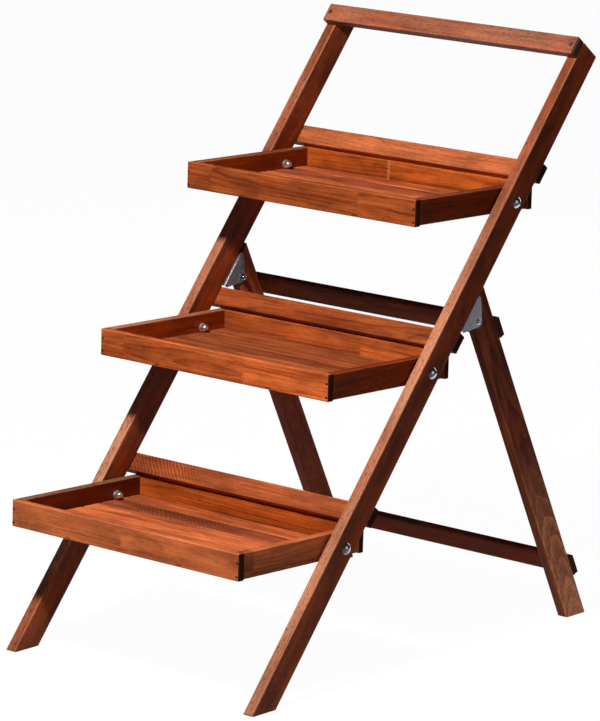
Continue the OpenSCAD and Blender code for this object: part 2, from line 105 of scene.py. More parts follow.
# %% Shader helpers
def put(tree, kind, inputs=None, **settings):
    """A new node; an input is a plain value, or a socket that gets linked."""
    made = tree.nodes.new(kind)
    for key, value in settings.items():
        setattr(made, key, value)
    for key, value in (inputs or {}).items():
        if isinstance(value, bpy.types.NodeSocket):
            tree.links.new(value, made.inputs[key])
        else:
            made.inputs[key].default_value = value
    return made


def calc(tree, operation, a, b=0.0, c=0.0, clamp=False):
    """One Math node; gives its output."""
    return put(tree, "ShaderNodeMath", {0: a, 1: b, 2: c}, operation=operation, use_clamp=clamp).outputs[0]


def vector_calc(tree, operation, a, b=(0, 0, 0), scale=None):
    """One Vector Math node; gives its first output."""
    inputs = {0: a, 1: b} if scale is None else {0: a, "Scale": scale}
    made = put(tree, "ShaderNodeVectorMath", inputs, operation=operation)
    return made.outputs["Value" if operation in ("DOT_PRODUCT", "LENGTH") else "Vector"]


def blend(tree, amount, a, b, mode="MIX"):
    """Mixes two colours by an amount from 0 to 1."""
    made = put(tree, "ShaderNodeMix", data_type="RGBA", blend_type=mode)
    for socket, value in ((made.inputs[0], amount), (made.inputs[6], a), (made.inputs[7], b)):
        if isinstance(value, bpy.types.NodeSocket):
            tree.links.new(value, socket)
        else:
            socket.default_value = value
    return made.outputs[2]


def ramp(tree, value, low, high, out_low=0.0, out_high=1.0):
    """Turns the range low..high into out_low..out_high, softly and without running over."""
    made = put(tree, "ShaderNodeMapRange", {0: value, 1: low, 2: high, 3: out_low, 4: out_high},
               interpolation_type="SMOOTHSTEP")
    return made.outputs[0]


def hypotenuse(tree, a, b):
    """How far away something is that lies a to one side and b to the other."""
    return calc(tree, "SQRT", calc(tree, "ADD", calc(tree, "MULTIPLY", a, a), calc(tree, "MULTIPLY", b, b)))


def noise(tree, place, cycles, detail, roughness=0.5, seed=None, shift=None, output="Fac"):
    """Soft noise with so many cycles per metre; a seed or a shift picks another stretch of it."""
    scaled = vector_calc(tree, "MULTIPLY", place, cycles)
    if shift is not None:
        scaled = vector_calc(tree, "ADD", scaled, shift)
    inputs = {"Vector": scaled, "Scale": 1.0, "Detail": detail, "Roughness": roughness}
    if seed is not None:
        inputs["W"] = seed
    made = put(tree, "ShaderNodeTexNoise", inputs, noise_dimensions="3D" if seed is None else "4D")
    return made.outputs[output]


def lottery(tree, number, output="Value"):
    """The same chance value each time for the same number."""
    return put(tree, "ShaderNodeTexWhiteNoise", {"W": number}, noise_dimensions="1D").outputs[output]


def new_group(name, inputs, outputs):
    """A shader node group with named sockets; gives the tree and its input and output nodes."""
    tree = bpy.data.node_groups.new(name, "ShaderNodeTree")
    for label, kind, value in inputs:
        socket = tree.interface.new_socket(label, in_out="INPUT", socket_type="NodeSocket" + kind)
        socket.default_value = value
    for label, kind in outputs:
        tree.interface.new_socket(label, in_out="OUTPUT", socket_type="NodeSocket" + kind)
    return tree, tree.nodes.new("NodeGroupInput").outputs, tree.nodes.new("NodeGroupOutput").inputs


print("shader helpers are ready")

# %% [markdown]
# ## Growth rings and fibres
# A board is a slice of a tree. Its rings are nested tubes round the trunk's middle, which lies
# somewhere outside the board, so a sawn face shows them as long lines that drift and now and then
# close into a pointed arch. The group works this out in three dimensions: the distance from the
# trunk's line, bent a little by slow noise, is cut into rings. Because it is solid, the lines on a
# face run on round the edge and show as arcs on the sawn end, with nothing to line up by hand.
# Stretched noise adds the fibres and the short open pores.

# %% Node group: wood grain
SEED_STEP = (1.37, 0.71, 0.29)    # how far apart in the noise two neighbouring seeds lie
# These are cycles per metre along, across and through a board.
TRUNK_BENDS = (3.2, 16, 16)
FIBRES = (9, 430, 430)
OPEN_PORES = (120, 620, 620)
BROAD_STREAKS = (4, 62, 62)

grain, given, out = new_group(
    "Wood grain",
    [("Vector", "Vector", (0, 0, 0)), ("Seed", "Float", 0.0), ("Ring width", "Float", 0.004),
     ("Wander", "Float", 0.004), ("Arches", "Float", 0.0)],
    [("Rings", "Float"), ("Fibre", "Float"), ("Pores", "Float"), ("Bands", "Float")])
spot = vector_calc(grain, "SCALE", SEED_STEP, scale=given["Seed"])
here = put(grain, "ShaderNodeSeparateXYZ", {0: given["Vector"]}).outputs
# Slow bends of the trunk: noise that changes over a hand's width along the board.
slow = noise(grain, given["Vector"], TRUNK_BENDS, 2.0, 0.45, shift=spot, output="Color")
bend = vector_calc(grain, "SCALE", vector_calc(grain, "SUBTRACT", slow, (0.5, 0.5, 0.5)),
                   scale=calc(grain, "MULTIPLY", given["Wander"], 4.0))
bend_xyz = put(grain, "ShaderNodeSeparateXYZ", {0: bend}).outputs
# The trunk's middle, beside and below the board, differs from board to board. Arches pull it under
# the middle of the face and tilt it more and more towards the foot, where the rings close into
# pointed arches.
chance = put(grain, "ShaderNodeSeparateColor", {0: lottery(grain, given["Seed"], "Color")}).outputs
side = calc(grain, "MULTIPLY", calc(grain, "MULTIPLY_ADD", chance[0], 0.09, -0.045),
            calc(grain, "SUBTRACT", 1.0, given["Arches"]))
below = calc(grain, "MULTIPLY_ADD", chance[1], 0.05, 0.012)
tilt = calc(grain, "MULTIPLY_ADD", chance[2], 0.05, -0.025)
steeper = calc(grain, "MULTIPLY", given["Arches"], calc(grain, "MULTIPLY_ADD", here[0], -0.085, 0.072))
taper = calc(grain, "MULTIPLY", here[0], calc(grain, "ADD", tilt, steeper))
dy = calc(grain, "ADD", calc(grain, "ADD", here[1], side), bend_xyz[0])
dz = calc(grain, "ADD", calc(grain, "ADD", here[2], below), bend_xyz[1])
rings = calc(grain, "DIVIDE", calc(grain, "ADD", hypotenuse(grain, dy, dz), taper), given["Ring width"])
phase = calc(grain, "FRACT", rings)
# Early wood darkens slowly into late wood, then starts again at once. Some years are darker.
late = calc(grain, "MULTIPLY", calc(grain, "POWER", phase, 2.6), ramp(grain, phase, 1.0, 0.9))
year = calc(grain, "MULTIPLY_ADD", lottery(grain, calc(grain, "FLOOR", rings)), 0.9, 0.35)
grain.links.new(calc(grain, "MULTIPLY", late, year), out["Rings"])
grain.links.new(noise(grain, given["Vector"], FIBRES, 4.0, 0.62, shift=spot), out["Fibre"])
pore = noise(grain, given["Vector"], OPEN_PORES, 1.0, shift=spot)
grain.links.new(ramp(grain, pore, 0.54, 0.67), out["Pores"])
# Broad light and dark streaks, a finger wide and a forearm long.
grain.links.new(noise(grain, given["Vector"], BROAD_STREAKS, 3.0, 0.55, shift=spot), out["Bands"])
print("group", grain.name, "has", len(grain.nodes), "nodes")

# %% [markdown]
# ## Sawn ends and feet
# Where a board is cut across, its open fibres drink far more oil and turn almost black. The group
# compares the surface's own direction with the direction of the grain: the closer they are, the
# more of the end shows. Start says how far the black creeps over the rounded edges; on the slanting
# cuts of the feet it stays high, because the real feet are as brown as the boards.

# %% Node group: sawn end
END_BLUR = 0.15    # how softly the black ends, as a difference of the two directions

sawn, given, out = new_group(
    "Sawn end",
    [("Along", "Vector", (1, 0, 0)), ("Start", "Float", 0.3)],
    [("Mask", "Float")])
facing = put(sawn, "ShaderNodeTexCoord").outputs["Normal"]
share = calc(sawn, "ABSOLUTE", vector_calc(sawn, "DOT_PRODUCT", facing, given["Along"]))
sawn.links.new(ramp(sawn, share, given["Start"], calc(sawn, "ADD", given["Start"], END_BLUR)), out["Mask"])
print("group", sawn.name, "has", len(sawn.nodes), "nodes")

# %% [markdown]
# ## Sanded edges and painted glint
# The machine that rounds a board's edges also sands them, and hands polish them later, so the stain
# is thinner there. The pale rim is also a painted highlight, for the glint that the rounded edges catch.
# On a board, the distance to the nearest edge is easy to know: of the three distances to its faces,
# the smallest is the face the point lies on, and the middle one is how far the next face is.

# %% Node group: sanded edge and painted glint
edge, given, out = new_group(
    "Sanded edge and glint",
    [("Vector", "Vector", (0, 0, 0)), ("Half size", "Vector", (1, 1, 1)), ("Reach", "Float", 0.004),
     ("Seed", "Float", 0.0)],
    [("Mask", "Float")])
# The pale rim stands for sanding and also for a painted glint along the edges.
gap = vector_calc(edge, "SUBTRACT", given["Half size"], vector_calc(edge, "ABSOLUTE", given["Vector"]))
g = put(edge, "ShaderNodeSeparateXYZ", {0: gap}).outputs
least = calc(edge, "MINIMUM", calc(edge, "MINIMUM", g[0], g[1]), g[2])
most = calc(edge, "MAXIMUM", calc(edge, "MAXIMUM", g[0], g[1]), g[2])
total = calc(edge, "ADD", calc(edge, "ADD", g[0], g[1]), g[2])
middle = calc(edge, "SUBTRACT", calc(edge, "SUBTRACT", total, least), most)
patchy = noise(edge, given["Vector"], (45, 160, 160), 2.0, seed=given["Seed"])
near = ramp(edge, middle, given["Reach"], 0.0)
edge.links.new(calc(edge, "MULTIPLY", near, ramp(edge, patchy, 0.3, 0.7, 0.35, 1.0)), out["Mask"])
print("group", edge.name, "has", len(edge.nodes), "nodes")

# %% [markdown]
# ## Finger joints
# Long boards of this stand are glued up from shorter pieces, end to end, with little interlocking
# fingers. The oil takes differently on each piece, so the joint shows as a sudden step in tone with
# a fine zigzag line. The group counts how many joints lie to the left of a point, so that each
# piece can have its own grain, picks the tone that the piece was given, and draws the glue line.

# %% Node group: finger joints
FINGER_HALF = 0.0019    # half the width of one finger, in metres
FINGER_SLOPE = 3.2      # how much longer than half its width a finger is
GLUE_HALF = 0.0009      # half the width of the glue line

fingers, given, out = new_group(
    "Finger joints",
    [("Vector", "Vector", (0, 0, 0)), ("Seed", "Float", 0.0), ("First", "Float", 9.0),
     ("Second", "Float", 9.0), ("Tone", "Float", 0.5), ("Second tone", "Float", 0.5),
     ("Third tone", "Float", 0.5)],
    [("Piece", "Float"), ("Tone", "Float"), ("Glue", "Float")])
here = put(fingers, "ShaderNodeSeparateXYZ", {0: given["Vector"]}).outputs
tooth = calc(fingers, "PINGPONG", here[1], FINGER_HALF)
place = calc(fingers, "MULTIPLY_ADD", tooth, FINGER_SLOPE, here[0])
count, line, tone = 0.0, 0.0, given["Tone"]
for label, next_tone in (("First", "Second tone"), ("Second", "Third tone")):
    beyond = calc(fingers, "GREATER_THAN", place, given[label])
    away = calc(fingers, "ABSOLUTE", calc(fingers, "SUBTRACT", place, given[label]))
    near = ramp(fingers, away, GLUE_HALF, 0.0)
    step = calc(fingers, "SUBTRACT", given[next_tone], tone)
    tone = calc(fingers, "MULTIPLY_ADD", beyond, step, tone)
    count = calc(fingers, "ADD", count, beyond)
    line = calc(fingers, "MAXIMUM", line, near)
fingers.links.new(calc(fingers, "MULTIPLY_ADD", count, 3.17, given["Seed"]), out["Piece"])
fingers.links.new(tone, out["Tone"])
fingers.links.new(line, out["Glue"])
print("group", fingers.name, "has", len(fingers.nodes), "nodes")

# %% [markdown]
# ## Rippled figure
# Some boards have ripples across the grain, where the tree's fibres grew in waves. They catch the
# light as slanting stripes, strongest near a branch. The group makes slanting waves and lets them
# show only where a soft patch allows.

# %% Node group: ripple figure
ripple, given, out = new_group(
    "Ripple figure",
    [("Vector", "Vector", (0, 0, 0)), ("Centre", "Float", 0.0), ("Reach", "Float", 0.1),
     ("Slant", "Float", 1.0), ("Spacing", "Float", 0.007)],
    [("Mask", "Float")])
here = put(ripple, "ShaderNodeSeparateXYZ", {0: given["Vector"]}).outputs
warp = noise(ripple, given["Vector"], (22, 40, 40), 2.0)
run = calc(ripple, "ADD", here[0], calc(ripple, "MULTIPLY", here[1], given["Slant"]))
bent = calc(ripple, "MULTIPLY_ADD", warp, 0.016, run)
turns = calc(ripple, "DIVIDE", bent, given["Spacing"])
wave = calc(ripple, "SINE", calc(ripple, "MULTIPLY", turns, math.tau))
away = calc(ripple, "ABSOLUTE", calc(ripple, "SUBTRACT", here[0], given["Centre"]))
patch = ramp(ripple, calc(ripple, "DIVIDE", away, given["Reach"]), 1.0, 0.3)
ripple.links.new(calc(ripple, "MULTIPLY", calc(ripple, "MULTIPLY_ADD", wave, 0.5, 0.5), patch), out["Mask"])
print("group", ripple.name, "has", len(ripple.nodes), "nodes")

# %% [markdown]
# ## Tones of the slats in a tray
# The floor of a tray is six slats that were cut from different planks. They are one node here, so
# the material has to know which slat a point lies on. Counting slat widths from the front of the
# tray gives the slat's number, and a chance number from that gives its tone.

# %% Node group: slat tones
SLAT_PITCH = 0.0461667    # from one slat to the next, in metres

slats, given, out = new_group(
    "Slat tones",
    [("Vector", "Vector", (0, 0, 0)), ("Pitch", "Float", SLAT_PITCH), ("Start", "Float", 0.0),
     ("Seed", "Float", 0.0), ("Brown slat", "Float", 3.0)],
    [("Number", "Float"), ("Tone", "Float"), ("Brown", "Float")])
here = put(slats, "ShaderNodeSeparateXYZ", {0: given["Vector"]}).outputs
behind = calc(slats, "SUBTRACT", here[1], given["Start"])
which = calc(slats, "FLOOR", calc(slats, "DIVIDE", behind, given["Pitch"]))
lot = calc(slats, "MULTIPLY_ADD", which, 5.31, given["Seed"])
slats.links.new(lot, out["Number"])
slats.links.new(lottery(slats, lot), out["Tone"])
slats.links.new(calc(slats, "COMPARE", which, given["Brown slat"], 0.4), out["Brown"])
print("group", slats.name, "has", len(slats.nodes), "nodes")

# %% [markdown]
# ## Oil and stain
# The colour of oiled wood is not one colour but a stack: pale early wood, darker late wood, dark
# pores, a slow change from place to place where the oil soaked in, and the tone of the piece. This
# group stacks them and also gives how shiny the surface is and how high it stands, because raised
# late wood and sunk pores are what break up a highlight on a real board.

# %% Node group: oiled stain
stain, given, out = new_group(
    "Oiled stain",
    [("Vector", "Vector", (0, 0, 0)), ("Seed", "Float", 0.0),
     ("Early wood", "Color", (0.45, 0.13, 0.04, 1)), ("Late wood", "Color", (0.2, 0.045, 0.015, 1)),
     ("Rings", "Float", 0.0), ("Fibre", "Float", 0.5), ("Pores", "Float", 0.0), ("Bands", "Float", 0.5),
     ("Contrast", "Float", 0.5), ("Tone", "Float", 0.5), ("Blotches", "Float", 0.26),
     ("Flecks", "Float", 0.4)],
    [("Color", "Color"), ("Roughness", "Float"), ("Height", "Float")])
soaked = noise(stain, given["Vector"], (9, 30, 30), 4.0, 0.65, seed=given["Seed"])
threads = calc(stain, "MULTIPLY", ramp(stain, given["Fibre"], 0.35, 0.70), 0.7)
broad = calc(stain, "MULTIPLY", ramp(stain, given["Bands"], 0.36, 0.66), 0.8)
marks = calc(stain, "ADD", calc(stain, "ADD", given["Rings"], threads), broad)
darkness = calc(stain, "MULTIPLY", marks, given["Contrast"], clamp=True)
colour = blend(stain, darkness, given["Early wood"], given["Late wood"])
blotch = calc(stain, "MULTIPLY_ADD", ramp(stain, soaked, 0.30, 0.70, -1.0, 1.0), given["Blotches"], 1.0)
flecked = calc(stain, "SUBTRACT", 1.0, calc(stain, "MULTIPLY", given["Pores"], given["Flecks"]))
toned = calc(stain, "ADD", given["Tone"], 0.5)
depth = calc(stain, "MULTIPLY", calc(stain, "MULTIPLY", toned, blotch), flecked)
grey = put(stain, "ShaderNodeCombineColor", {0: depth, 1: depth, 2: depth}).outputs[0]
stain.links.new(blend(stain, 1.0, colour, grey, "MULTIPLY"), out["Color"])
dry = ramp(stain, soaked, 0.3, 0.7, 0.40, 0.50)
stain.links.new(calc(stain, "MULTIPLY_ADD", given["Fibre"], 0.2, dry), out["Roughness"])
lift = calc(stain, "MULTIPLY_ADD", given["Rings"], 0.35, calc(stain, "MULTIPLY", given["Fibre"], 0.5))
stain.links.new(calc(stain, "MULTIPLY_ADD", given["Pores"], -0.5, lift), out["Height"])
print("group", stain.name, "has", len(stain.nodes), "nodes")

# %% [markdown]
# ## Painted light
# The faces that look towards a lamp catch a broad sheen, and near the floor the boards catch the light
# thrown up from it. Both are painted into the colour here: the wood turns paler and a little grey, most
# of all along the raised fibres. The group gives broad soft patches of painted sheen on the faces that
# look one way, which die away down the neighbouring faces. Slope makes them stronger towards the foot
# of the board, and Toe takes them back again just above the floor. Foot amount adds painted light near
# the foot on all faces. Raised late wood and fibres take the most of it, so the grain shows up pale in it.

# %% Node group: painted light
painted_light_group, given, out = new_group(
    "Painted light",
    [("Vector", "Vector", (0, 0, 0)), ("Seed", "Float", 0.0), ("Fibre", "Float", 0.5),
     ("Rings", "Float", 0.0), ("Pores", "Float", 0.0), ("Raised rings", "Float", 0.55),
     ("Amount", "Float", 0.0), ("Lit side", "Vector", (0, 0, 1)), ("Nearness", "Float", 0.0),
     ("Creep", "Float", 0.0), ("Slope", "Float", 0.0), ("Toe", "Float", 0.0),
     ("Foot", "Float", -9.0), ("Foot reach", "Float", 0.4), ("Foot amount", "Float", 0.0)],
    [("Mask", "Float")])
facing = put(painted_light_group, "ShaderNodeTexCoord").outputs["Normal"]
# Painted sheen: broad pale patches on the faces that look to the lit side.
lit_face = ramp(painted_light_group, vector_calc(painted_light_group, "DOT_PRODUCT", facing, given["Lit side"]), 0.35, 0.85)
patch = noise(painted_light_group, given["Vector"], (5, 14, 14), 3.0, 0.55, seed=given["Seed"])
creeping = calc(painted_light_group, "MULTIPLY", ramp(painted_light_group, given["Nearness"], -0.2, 1.1), given["Creep"])
lit_patches = calc(painted_light_group, "MULTIPLY", ramp(painted_light_group, patch, 0.30, 0.66, 0.35, 1.0),
                calc(painted_light_group, "MAXIMUM", lit_face, creeping))
# Foot is the place of the board's lower end, measured from its middle, and so it is negative.
along = put(painted_light_group, "ShaderNodeSeparateXYZ", {0: given["Vector"]}).outputs[0]
above_floor = calc(painted_light_group, "SUBTRACT", along, given["Foot"])
near_foot = ramp(painted_light_group, calc(painted_light_group, "DIVIDE", above_floor, given["Foot reach"]), 1.0, 0.0)
downwards = calc(painted_light_group, "DIVIDE", along, given["Foot"])
stronger = calc(painted_light_group, "MULTIPLY_ADD", downwards, given["Slope"], 1.0)
sloped = calc(painted_light_group, "MULTIPLY", given["Amount"], stronger)
kept = calc(painted_light_group, "SUBTRACT", 1.0, calc(painted_light_group, "MULTIPLY", near_foot, given["Toe"]))
share = calc(painted_light_group, "MULTIPLY", calc(painted_light_group, "MAXIMUM", sloped, 0.0), kept)
# Painted light from the floor near the foot, on all faces.
floor_light = calc(painted_light_group, "MULTIPLY", near_foot, given["Foot amount"])
faded = calc(painted_light_group, "MULTIPLY_ADD", lit_patches, share, floor_light)
threads = calc(painted_light_group, "MULTIPLY_ADD", given["Rings"], given["Raised rings"],
               ramp(painted_light_group, given["Fibre"], 0.35, 0.65, 0.95, 0.6))
unstained = calc(painted_light_group, "MULTIPLY_ADD", given["Pores"], -0.75, 1.0)
painted_light_mask = calc(painted_light_group, "MULTIPLY", calc(painted_light_group, "MULTIPLY", faded, threads), unstained, clamp=True)
painted_light_group.links.new(painted_light_mask, out["Mask"])
print("group", painted_light_group.name, "has", len(painted_light_group.nodes), "nodes")

# %% [markdown]
# ## Oil round the nails
# Each end of a tray's front and back board is nailed with two brads. Oil pools in the little
# dents and dries almost black, which is what the eye sees of a brad. The group draws four soft dots.

# %% Node group: nail stains
nails, given, out = new_group(
    "Nail stains",
    [("Vector", "Vector", (0, 0, 0)), ("Out", "Float", 0.25), ("Low", "Float", -0.016),
     ("High", "Float", 0.007), ("Radius", "Float", 0.0027)],
    [("Mask", "Float")])
here = put(nails, "ShaderNodeSeparateXYZ", {0: given["Vector"]}).outputs
beside = calc(nails, "SUBTRACT", calc(nails, "ABSOLUTE", here[0]), given["Out"])
spots = []
for label in ("Low", "High"):
    above = calc(nails, "SUBTRACT", here[1], given[label])
    apart = calc(nails, "DIVIDE", hypotenuse(nails, beside, above), given["Radius"])
    spots.append(ramp(nails, apart, 1.0, 0.6))
nails.links.new(calc(nails, "MAXIMUM", spots[0], spots[1]), out["Mask"])
print("group", nails.name, "has", len(nails.nodes), "nodes")

# %% [markdown]
# ## One recipe for every board
# All boards share the recipe and differ in their values: which way the grain runs, how dark they
# took the stain, where they are joined, whether they have figure. The recipe first turns the
# surface's place into the board's own axes with one Mapping node, so the pattern stays with the
# board when it swings. It then feeds the groups and ends in the shader. Oiled wood has a weak shine,
# so the shader's specular level is low.
#
# Some of the values need a word. Depth makes the whole stain darker below 1 and paler above 1. Joints
# are places along the board, from its middle, and tones belong to the pieces between them. Wear is for
# the rubbed edges and the painted glint along them, and fade for the painted sheen on the faces that
# look to the lit side. Figure holds the ripples' middle, reach, slant, spacing and strength; on a
# tray's floor they show on the brown slat only.

# %% Stains
# Each stain is the colour of early wood, of late wood, and a pale colour for rubbed edges, which also serves
# for painted glint, painted sheen and painted light from the floor.
STAINS = {
    "chestnut": ((0.58, 0.152, 0.050), (0.25, 0.045, 0.012), (0.78, 0.33, 0.15)),
    "russet": ((0.58, 0.130, 0.030), (0.24, 0.038, 0.008), (0.75, 0.30, 0.12)),
    "amber": ((0.58, 0.125, 0.019), (0.24, 0.037, 0.005), (0.75, 0.27, 0.08)),
    "rose": ((0.54, 0.088, 0.017), (0.24, 0.027, 0.005), (1.22, 0.55, 0.31)),
    "oxblood": ((0.31, 0.040, 0.003), (0.13, 0.013, 0.001), (0.64, 0.32, 0.19)),
    "umber": ((0.42, 0.076, 0.027), (0.17, 0.024, 0.008), (0.60, 0.24, 0.14)),
    "cocoa": ((0.42, 0.094, 0.036), (0.17, 0.030, 0.011), (1.25, 0.47, 0.25)),
}
END_BLACK = (0.038, 0.008, 0.004)    # a sawn end that drank much oil
PALE_GLUE = (0.95, 0.50, 0.24)       # a glue line that the stain did not reach
BROWNER = (0.50, 0.49, 0.66, 1)      # turns the colour of a slat into that of the brown slat
STRIPE = (0.42, 0.34, 0.32, 1)       # turns the colour of wood into that of a dark ripple
# The pale rim is also a painted glint along the rounded edges, over the same reach.
RIM_REACH = 0.0035                   # how far from an edge the wood is sanded thin, in metres
BRAD_OUT = 0.2518                    # the brads' distance from the middle of a board
BRAD_LOW, BRAD_HIGH = 0.007, 0.0295  # and their heights above its lower edge


def thinned(colour, depth):
    """A colour of stain laid on thinner or thicker, ready for a colour socket."""
    return tuple(depth * v for v in colour) + (1,)


for label, (early, late, rubbed_and_lit) in STAINS.items():
    print(label, "early wood", early, "late wood", late, "rubbed_and_lit", rubbed_and_lit)


# %% Recipe: a board of oiled wood
def join(tree, name, inputs):
    """Places one of the groups in a tree, with its values or links."""
    return put(tree, "ShaderNodeGroup", inputs, node_tree=bpy.data.node_groups[name])


def relief(tree, shader, height, strength, distance):
    """Lets a height over the surface, up to a distance in metres, tilt the way the light falls."""
    bump = put(tree, "ShaderNodeBump", {"Height": height, "Strength": strength, "Distance": distance})
    tree.links.new(bump.outputs["Normal"], shader.inputs["Normal"])


def dress(name, material):
    """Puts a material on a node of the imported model."""
    nodes[name].data.materials.clear()
    nodes[name].data.materials.append(material)


def wood(name, along, face, stain="chestnut", depth=1.0, seed=1.0, contrast=0.6, ring=0.004, wander=0.004,
         arches=0.0, joints=(), tones=(0.5, 0.5, 0.5), figure=None, floor_of=None, shine=0.1, edge_wear_and_glint=0.6,
         painted_light=0.0, slope=0.0, toe=0.0, creep=0.0, lit_side=OUT_OF_STILE, foot=0.0, raised=0.55,
         blotches=0.34, flecks=0.2, pale_glue=False, nailed=False, end=END_BLACK, end_start=0.3):
    """Makes the material for one wooden node and puts it on the node."""
    centre, half, axes = board_frame(name, along, face)
    early, late, rubbed_and_lit = (thinned(colour, depth) for colour in STAINS[stain])
    material = bpy.data.materials.new("wood_" + name)
    material.use_nodes = True
    tree = material.node_tree
    shader = tree.nodes["Principled BSDF"]
    turn = Matrix(axes).transposed().to_euler()
    local = put(tree, "ShaderNodeMapping", {
        "Vector": put(tree, "ShaderNodeTexCoord").outputs["Object"], "Location": centre, "Rotation": turn},
        vector_type="TEXTURE").outputs[0]
    if floor_of is None:
        marks = list(joints) + [9.0] * (2 - len(joints))
        pieces = join(tree, "Finger joints", {
            "Vector": local, "Seed": seed, "First": marks[0], "Second": marks[1],
            "Tone": tones[0], "Second tone": tones[1], "Third tone": tones[2]})
        lot, tone = pieces.outputs["Piece"], pieces.outputs["Tone"]
    else:
        pieces = join(tree, "Slat tones", {"Vector": local, "Start": floor_of[0], "Seed": seed,
                                           "Brown slat": floor_of[1]})
        lot = pieces.outputs["Number"]
        tone = calc(tree, "MULTIPLY_ADD", pieces.outputs["Tone"], 0.4, 0.3)
    lines = join(tree, "Wood grain", {"Vector": local, "Seed": lot, "Ring width": ring, "Wander": wander,
                                      "Arches": arches})
    drawn = {label: lines.outputs[label] for label in ("Rings", "Fibre", "Pores")}
    body = join(tree, "Oiled stain", {
        "Vector": local, "Seed": lot, "Early wood": early, "Late wood": late, **drawn,
        "Bands": lines.outputs["Bands"], "Contrast": contrast, "Tone": tone, "Blotches": blotches,
        "Flecks": flecks})
    colour = body.outputs["Color"]
    if floor_of is not None:
        brown = blend(tree, 1.0, colour, BROWNER, "MULTIPLY")
        colour = blend(tree, calc(tree, "MULTIPLY", pieces.outputs["Brown"], 0.9), colour, brown)
    if figure is not None:
        middle_at, reach, slant, spacing, amount = figure
        stripes = join(tree, "Ripple figure", {"Vector": local, "Centre": middle_at, "Reach": reach,
                                               "Slant": slant, "Spacing": spacing})
        strength = calc(tree, "MULTIPLY", stripes.outputs["Mask"], amount)
        if floor_of is not None:
            strength = calc(tree, "MULTIPLY", strength, pieces.outputs["Brown"])
        colour = blend(tree, strength, colour, blend(tree, 1.0, colour, STRIPE, "MULTIPLY"))
    if joints:
        glue, strength = (thinned(PALE_GLUE, 1.0), 0.9) if pale_glue else (late, 0.4)
        colour = blend(tree, calc(tree, "MULTIPLY", pieces.outputs["Glue"], strength), colour, glue)
    # Painted light: the pale colour on the faces that look to the lit side stands for sheen, and at the foot
    # for light from the floor.
    if painted_light or foot:
        own_side = Vector([axis.dot(lit_side) for axis in axes])
        depth_of_board = abs(own_side.dot(half))
        nearness = vector_calc(tree, "DOT_PRODUCT", local, own_side / depth_of_board)
        lit_patches = join(tree, "Painted light", {
            "Vector": local, "Seed": lot, **drawn, "Raised rings": raised, "Amount": painted_light,
            "Lit side": lit_side, "Nearness": nearness, "Creep": creep, "Slope": slope, "Toe": toe,
            "Foot": -half[0], "Foot amount": foot})
        colour = blend(tree, lit_patches.outputs["Mask"], colour, rubbed_and_lit)
    # Sanded edges, painted paler as well for the glint along the rounded edges.
    rim_and_glint = join(tree, "Sanded edge and glint", {"Vector": local, "Half size": half, "Reach": RIM_REACH, "Seed": seed})
    colour = blend(tree, calc(tree, "MULTIPLY", rim_and_glint.outputs["Mask"], edge_wear_and_glint * 0.5), colour, rubbed_and_lit)
    if nailed:
        dots = join(tree, "Nail stains", {"Vector": local, "Out": BRAD_OUT, "Low": BRAD_LOW - half[1],
                                          "High": BRAD_HIGH - half[1]})
        colour = blend(tree, dots.outputs["Mask"], colour, thinned(END_BLACK, 1.0))
    cut = join(tree, "Sawn end", {"Along": axes[0], "Start": end_start})
    colour = blend(tree, cut.outputs["Mask"], colour, thinned(end, 1.0))
    tree.links.new(colour, shader.inputs["Base Color"])
    rough = calc(tree, "MULTIPLY_ADD", cut.outputs["Mask"], 0.25, body.outputs["Roughness"])
    tree.links.new(rough, shader.inputs["Roughness"])
    relief(tree, shader, body.outputs["Height"], 0.4, 0.0004)
    shader.inputs["Specular IOR Level"].default_value = shine
    dress(name, material)


print("the wood recipe is ready")

# %% [markdown]
# ## Stiles, rail and back slats
# The two stiles are single straight-grained boards. Their fronts face the lamp, and the broad sheen
# that they catch is painted into the colour as a pale pinkish brown, more in their lower half than in
# the upper one. The rail has the same painted sheen and a little more shine from the hands that carry
# it. The back slats are laid across, and the lowest has rippled figure at its left end.

# %% Front frame boards
RAIL_END = (0.075, 0.028, 0.015)    # the rail's sawn ends are browner than the others

# Painted sheen on the stiles' fronts, stronger towards the foot and taken back just above the floor, more on
# the left stile; painted light from the floor at the foot; pale edges for a painted glint.
for side, seed, painted_light, slope, toe in (("left", 11.0, 0.95, 0.7, 0.8), ("right", 12.0, 0.82, 0.75, 0.3)):
    wood(f"stile_{side}", UP_STILE, ACROSS_STAND, stain="rose", depth=0.50, seed=seed, ring=0.0044,
         contrast=0.38, blotches=0.5, flecks=0.24, painted_light=painted_light, slope=slope, toe=toe, foot=0.12, creep=0.12,
         shine=0.12, edge_wear_and_glint=1.1, end_start=0.84)
# Painted sheen on the rail's front.
wood("top_rail", ACROSS_STAND, OUT_OF_STILE, stain="rose", depth=0.52, seed=21.0, contrast=0.7,
     blotches=0.6, flecks=0.12, painted_light=0.42, shine=0.35, end=RAIL_END)
wood("back_slat_low", ACROSS_STAND, OUT_OF_STILE, depth=0.89, seed=31.0, ring=0.005, edge_wear_and_glint=0.2,
     figure=(-0.2, 0.13, 0.9, 0.0082, 0.8))
wood("back_slat_mid", ACROSS_STAND, OUT_OF_STILE, stain="russet", depth=0.64, seed=32.0, edge_wear_and_glint=0.2)
# Painted sheen, a little, on the top back slat's front.
wood("back_slat_top", ACROSS_STAND, OUT_OF_STILE, depth=0.92, seed=33.0, joints=(0.12,), painted_light=0.15,
     edge_wear_and_glint=0.2)
print("front frame boards done")

# %% [markdown]
# ## Trays
# Each tray has four boards round six floor slats. The front and back boards are glued up from
# shorter pieces, which shows as steps in tone. The side boards soaked up the most stain, and one
# floor slat in a tray is browner than the rest. Half of the slats lie before the middle of the floor,
# which gives the place where the counting of slats starts.

